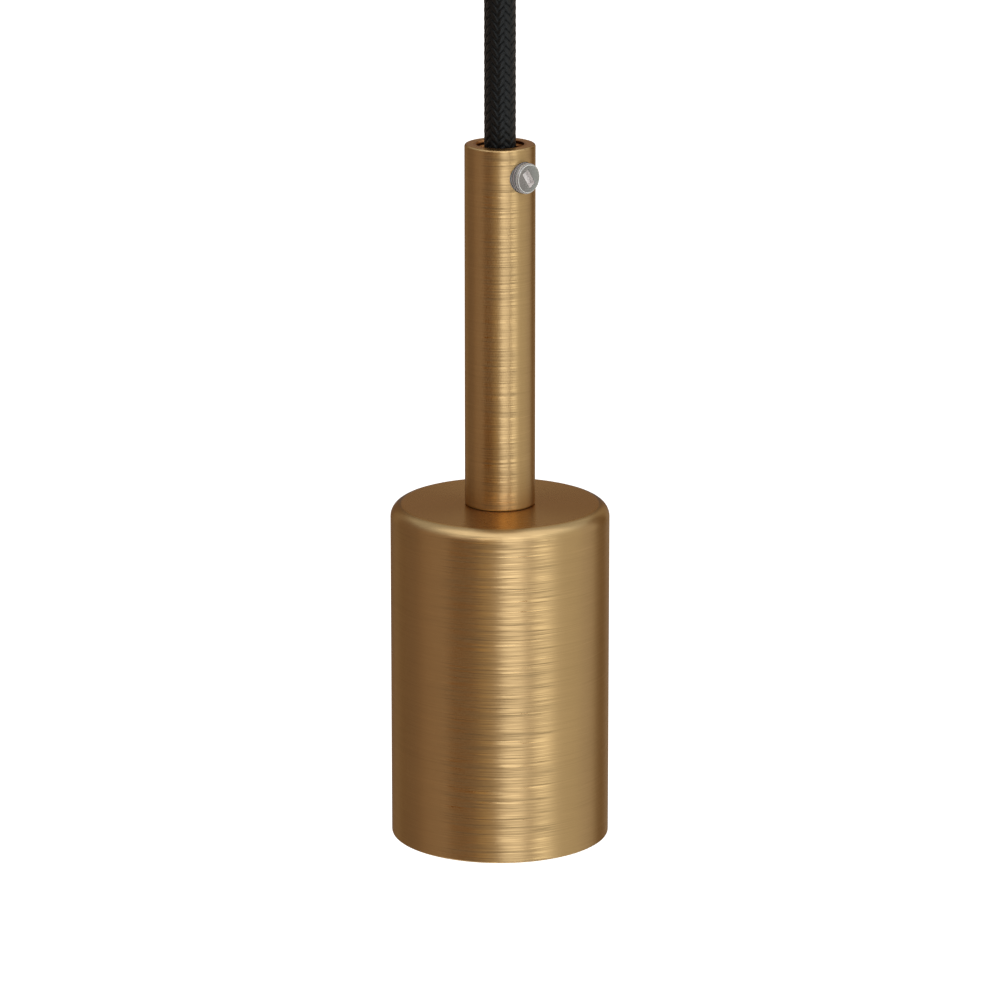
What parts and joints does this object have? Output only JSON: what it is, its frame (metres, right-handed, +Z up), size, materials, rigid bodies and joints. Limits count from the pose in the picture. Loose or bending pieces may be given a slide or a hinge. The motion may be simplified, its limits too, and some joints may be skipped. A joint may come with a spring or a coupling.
{
  "type": "pendant lamp holder",
  "caption": "Pendant lamp holder: metal cup with an open screw socket below, on a cable-clamp tube, hung by a short taut braided cable from a small ceiling rose.",
  "frame": {"origin": "centre of the ceiling bracket's top face, which lies on the ceiling", "axes": "+Z up along the cable and the cup's axis; -Y is the front, where the picture is taken from; +X to the right from there"},
  "size_m": [0.0676, 0.064, 0.2217],
  "materials": {
    "bronze": "brushed bronze, clear lacquer",
    "clear_plastic": "clear moulded plastic",
    "black_braid": "braided textile sleeve",
    "plated_steel": "zinc-plated steel",
    "black_moulding": "satin thermoplastic moulding",
    "ceramic": "glazed ceramic",
    "white_moulding": "white moulding",
    "shell_metal": "rolled sheet, plated",
    "contact_brass": "plain brass",
    "spring_steel": "spring wire",
    "brown_core": "insulated core",
    "blue_core": "insulated core",
    "earth_core_green": "insulated core, green with a yellow stripe"
  },
  "bodies": {
    "holder": {"block_barrels": "contact_brass", "block_screws": "plated_steel", "cable": "black_braid", "centre_eyelet": "contact_brass", "clamp_tube": "bronze", "contact_carrier": "ceramic", "contact_spring": "spring_steel", "cord_grip": "bronze", "cup": "bronze", "dome": "black_moulding", "earth_core": "earth_core_green", "earth_ring": "contact_brass", "grip_nut": "plated_steel", "live_core": "brown_core", "live_terminal": "contact_brass", "lock_washer": "plated_steel", "neutral_core": "blue_core", "neutral_terminal": "contact_brass", "nipple": "plated_steel", "nipple_nut": "plated_steel", "rose_bracket": "plated_steel", "rose_cup": "bronze", "rose_earth_core": "earth_core_green", "rose_live_core": "brown_core", "rose_neutral_core": "blue_core", "rose_side_screws": "bronze", "screw_shell": "shell_metal", "shell_rivets": "contact_brass", "skirt": "black_moulding", "terminal_block": "white_moulding", "terminal_screws": "plated_steel"},
    "clamp_screw": {"clamp_screw": "clear_plastic"},
    "grip_screw": {"grip_screw": "clear_plastic"},
    "centre_contact": {"centre_contact": "contact_brass"}
  },
  "joints": [
    {"name": "clamp_screw_turn", "type": "hinge", "parent": "holder", "child": "clamp_screw", "pos_m": [0, 0, -0.0915], "axis": [0.673, -0.7396, 0], "range_deg": [0, 720]},
    {"name": "grip_screw_turn", "type": "hinge", "parent": "holder", "child": "grip_screw", "pos_m": [0, 0, -0.036], "axis": [0.673, -0.7396, 0], "range_deg": [0, 720]},
    {"name": "centre_contact_slide", "type": "slide", "parent": "holder", "child": "centre_contact", "axis": [0, 0, 1], "range_m": [0, 0.0016], "stiffness_N_per_m": 1200, "springref_m": -0.002, "deforming": ["contact_spring"]}
  ]
}
